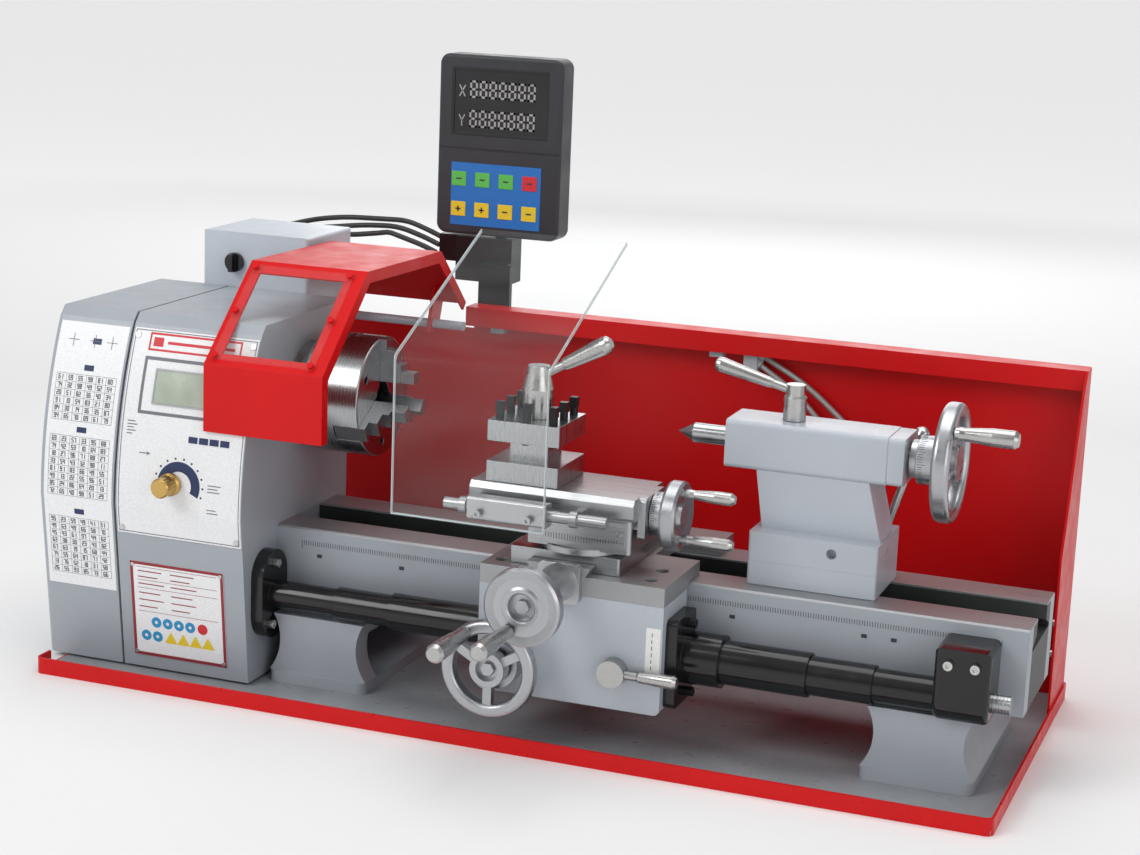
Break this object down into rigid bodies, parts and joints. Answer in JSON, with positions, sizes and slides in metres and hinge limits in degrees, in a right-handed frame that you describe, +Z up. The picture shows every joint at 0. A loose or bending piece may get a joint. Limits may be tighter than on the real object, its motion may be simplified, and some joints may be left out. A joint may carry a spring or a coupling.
{
  "type": "bench lathe",
  "caption": "Bench metal lathe with chuck guard, readout, carriage with cross and top slides, tool post, tailstock, leadscrew covers, chip tray and splash guard.",
  "frame": {"origin": "on the underside of the chip tray, midway along it and straight below the spindle axis", "axes": "+X from the headstock to the tailstock, +Y to the back of the machine, +Z up"},
  "size_m": [0.8095, 0.486, 0.503],
  "materials": {
    "red_paint": "semi-gloss",
    "grey_paint": "satin",
    "casting_paint": "satin",
    "ground_steel": "ground",
    "bright_steel": "polished",
    "black_plastic": "gloss",
    "black_steel": "blackened",
    "white_panel": "satin",
    "brass": "satin",
    "clear_plastic": "clear",
    "grey_plastic": "satin",
    "cable_jacket": "matt",
    "belt_rubber": "matt",
    "alu": "satin"
  },
  "bodies": {
    "frame": {"chip_tray": "red_paint", "splash_guard": "red_paint", "frame_screws": "bright_steel", "bed": "grey_paint", "feet": "grey_paint", "bed_rack": "black_steel", "headstock_shell": "grey_paint", "headstock_casting": "casting_paint", "spindle_bearings": "bright_steel", "gear_cover": "grey_paint", "data_plates": "white_panel", "control_panel": "white_panel", "switch_box": "grey_plastic", "cable_fittings": "grey_plastic", "cables": "cable_jacket", "motor": "alu", "drive_belt": "belt_rubber", "readout_bracket": "black_steel", "leadscrew_supports": "black_plastic"},
    "spindle": {"spindle": "ground_steel", "chuck_body": "ground_steel"},
    "jaw_1": {"chuck_jaw_1": "ground_steel"},
    "jaw_2": {"chuck_jaw_2": "ground_steel"},
    "jaw_3": {"chuck_jaw_3": "ground_steel"},
    "motor_pulley": {"motor_pulley": "alu"},
    "chuck_guard": {"chuck_guard": "red_paint", "guard_window": "clear_plastic"},
    "speed_knob": {"speed_knob": "brass"},
    "switch_knob": {"switch_knob": "black_plastic"},
    "readout": {"readout_case": "black_plastic"},
    "leadscrew": {"leadscrew": "ground_steel"},
    "screw_covers": {"screw_cover_middle": "black_plastic"},
    "carriage": {"saddle": "ground_steel", "apron": "grey_paint", "carriage_screws": "black_steel", "feed_bracket": "bright_steel", "screw_cover_carriage": "black_plastic"},
    "carriage_wheel": {"carriage_handwheel": "bright_steel"},
    "carriage_grip": {"carriage_grip": "bright_steel"},
    "half_nut_lever": {"half_nut_lever": "bright_steel"},
    "cross_wheel": {"cross_handwheel": "bright_steel"},
    "cross_grip": {"cross_grip": "bright_steel"},
    "cross_slide": {"cross_slide": "ground_steel"},
    "compound": {"compound_base": "ground_steel"},
    "top_slide": {"top_slide": "ground_steel"},
    "top_wheel": {"top_handwheel": "bright_steel"},
    "top_grip_1": {"top_grip_1": "bright_steel"},
    "top_grip_2": {"top_grip_2": "bright_steel"},
    "tool_post": {"tool_post": "ground_steel", "post_screws": "black_steel"},
    "post_lever": {"post_lever": "bright_steel"},
    "tool_shield": {"shield_clamp": "alu", "tool_shield": "clear_plastic"},
    "tailstock": {"tailstock_base": "ground_steel", "tailstock_body": "grey_paint"},
    "quill": {"quill": "ground_steel"},
    "tailstock_wheel": {"tailstock_handwheel": "bright_steel"},
    "tailstock_grip": {"tailstock_grip": "bright_steel"},
    "quill_lock": {"quill_lock_lever": "bright_steel"},
    "bed_clamp": {"clamp_lever": "bright_steel"}
  },
  "joints": [
    {"name": "spindle_spin", "type": "hinge", "parent": "frame", "child": "spindle", "pos_m": [-0.18, 0, 0.2329], "axis": [1, 0, 0], "continuous": true},
    {"name": "motor_spin", "type": "hinge", "parent": "frame", "child": "motor_pulley", "pos_m": [-0.37, -0.02, 0.062], "axis": [1, 0, 0], "continuous": true},
    {"name": "jaw_1_slide", "type": "slide", "parent": "spindle", "child": "jaw_1", "axis": [0, 0, 1], "range_m": [-0.008, 0.012]},
    {"name": "jaw_2_slide", "type": "slide", "parent": "spindle", "child": "jaw_2", "axis": [0, -0.866, -0.5], "range_m": [-0.008, 0.012]},
    {"name": "jaw_3_slide", "type": "slide", "parent": "spindle", "child": "jaw_3", "axis": [0, 0.866, -0.5], "range_m": [-0.008, 0.012]},
    {"name": "chuck_guard_hinge", "type": "hinge", "parent": "frame", "child": "chuck_guard", "pos_m": [-0.205, 0.15, 0.269], "axis": [-1, 0, 0], "range_deg": [0, 60]},
    {"name": "speed_knob_turn", "type": "hinge", "parent": "frame", "child": "speed_knob", "pos_m": [-0.287, -0.12, 0.168], "axis": [0, -1, 0], "range_deg": [0, 270]},
    {"name": "switch_knob_turn", "type": "hinge", "parent": "frame", "child": "switch_knob", "pos_m": [-0.334, 0.074, 0.3196], "axis": [0, -1, 0], "range_deg": [0, 90]},
    {"name": "readout_swivel", "type": "hinge", "parent": "frame", "child": "readout", "pos_m": [-0.141, 0.214, 0.34], "axis": [0, 0, -1], "range_deg": [-20, 20]},
    {"name": "leadscrew_spin", "type": "hinge", "parent": "frame", "child": "leadscrew", "pos_m": [0, -0.079, 0.076], "axis": [1, 0, 0], "continuous": true},
    {"name": "carriage_slide", "type": "slide", "parent": "frame", "child": "carriage", "axis": [1, 0, 0], "range_m": [-0.065, 0.035]},
    {"name": "screw_cover_slide", "type": "slide", "parent": "frame", "child": "screw_covers", "axis": [1, 0, 0], "range_m": [-0.033, 0.018]},
    {"name": "carriage_wheel_spin", "type": "hinge", "parent": "carriage", "child": "carriage_wheel", "pos_m": [0.005, -0.139, 0.065], "axis": [0, -1, 0], "range_deg": [-380, 210]},
    {"name": "half_nut_turn", "type": "hinge", "parent": "carriage", "child": "half_nut_lever", "pos_m": [0.097, -0.118, 0.069], "axis": [0, 1, 0], "range_deg": [0, 35]},
    {"name": "cross_slide_slide", "type": "slide", "parent": "carriage", "child": "cross_slide", "axis": [0, 1, 0], "range_m": [-0.01, 0.075]},
    {"name": "cross_wheel_spin", "type": "hinge", "parent": "carriage", "child": "cross_wheel", "pos_m": [0.051, -0.19, 0.135], "axis": [0, -1, 0], "range_deg": [-1900, 13600]},
    {"name": "compound_swivel", "type": "hinge", "parent": "cross_slide", "child": "compound", "pos_m": [0.055, -0.076, 0.153], "axis": [0, 0, -1], "range_deg": [-15, 15]},
    {"name": "top_slide_slide", "type": "slide", "parent": "compound", "child": "top_slide", "axis": [1, 0, 0], "range_m": [0, 0.045]},
    {"name": "top_wheel_spin", "type": "hinge", "parent": "top_slide", "child": "top_wheel", "pos_m": [0.121, -0.076, 0.1853], "axis": [1, 0, 0], "range_deg": [-100, 10900]},
    {"name": "tool_post_turn", "type": "hinge", "parent": "top_slide", "child": "tool_post", "pos_m": [0.0105, -0.076, 0.21], "axis": [0, 0, 1], "continuous": true},
    {"name": "post_lever_turn", "type": "hinge", "parent": "top_slide", "child": "post_lever", "pos_m": [0.0105, -0.076, 0.26], "axis": [0, 0, 1], "range_deg": [0, 70]},
    {"name": "tool_shield_hinge", "type": "hinge", "parent": "top_slide", "child": "tool_shield", "pos_m": [0.01, -0.127, 0.186], "axis": [1, 0, 0], "range_deg": [0, 75]},
    {"name": "tailstock_slide", "type": "slide", "parent": "frame", "child": "tailstock", "axis": [1, 0, 0], "range_m": [-0.035, 0.095]},
    {"name": "quill_slide", "type": "slide", "parent": "tailstock", "child": "quill", "axis": [-1, 0, 0], "range_m": [0, 0.05]},
    {"name": "tailstock_wheel_spin", "type": "hinge", "parent": "tailstock", "child": "tailstock_wheel", "pos_m": [0.312, 0, 0.234], "axis": [1, 0, 0], "range_deg": [-100, 9100]},
    {"name": "quill_lock_turn", "type": "hinge", "parent": "tailstock", "child": "quill_lock", "pos_m": [0.195, 0, 0.253], "axis": [0, 0, 1], "range_deg": [0, 60]},
    {"name": "bed_clamp_turn", "type": "hinge", "parent": "tailstock", "child": "bed_clamp", "pos_m": [0.262, 0.037, 0.158], "axis": [0, -1, 0], "range_deg": [0, 60]},
    {"name": "carriage_grip_spin", "type": "hinge", "parent": "carriage_wheel", "child": "carriage_grip", "pos_m": [-0.01345, -0.151, 0.09236], "axis": [0, -1, 0], "continuous": true},
    {"name": "cross_grip_spin", "type": "hinge", "parent": "cross_wheel", "child": "cross_grip", "pos_m": [0.04147, -0.202, 0.11629], "axis": [0, -1, 0], "continuous": true},
    {"name": "top_grip_1_spin", "type": "hinge", "parent": "top_wheel", "child": "top_grip_1", "pos_m": [0.133, -0.076, 0.2033], "axis": [1, 0, 0], "continuous": true},
    {"name": "top_grip_2_spin", "type": "hinge", "parent": "top_wheel", "child": "top_grip_2", "pos_m": [0.133, -0.076, 0.1673], "axis": [1, 0, 0], "continuous": true},
    {"name": "tailstock_grip_spin", "type": "hinge", "parent": "tailstock_wheel", "child": "tailstock_grip", "pos_m": [0.326, -0.02848, 0.26349], "axis": [1, 0, 0], "continuous": true}
  ],
  "couplings": [
    {"joint": "motor_spin", "follows": "spindle_spin", "ratio": 2.5},
    {"joint": "jaw_2_slide", "follows": "jaw_1_slide", "ratio": 1},
    {"joint": "jaw_3_slide", "follows": "jaw_1_slide", "ratio": 1},
    {"joint": "screw_cover_slide", "follows": "carriage_slide", "ratio": 0.5},
    {"joint": "carriage_wheel_spin", "follows": "carriage_slide", "rad_per_m": 100},
    {"joint": "cross_wheel_spin", "follows": "cross_slide_slide", "rad_per_m": 3141.6},
    {"joint": "top_wheel_spin", "follows": "top_slide_slide", "rad_per_m": 4188.8},
    {"joint": "tailstock_wheel_spin", "follows": "quill_slide", "rad_per_m": 3141.6}
  ]
}
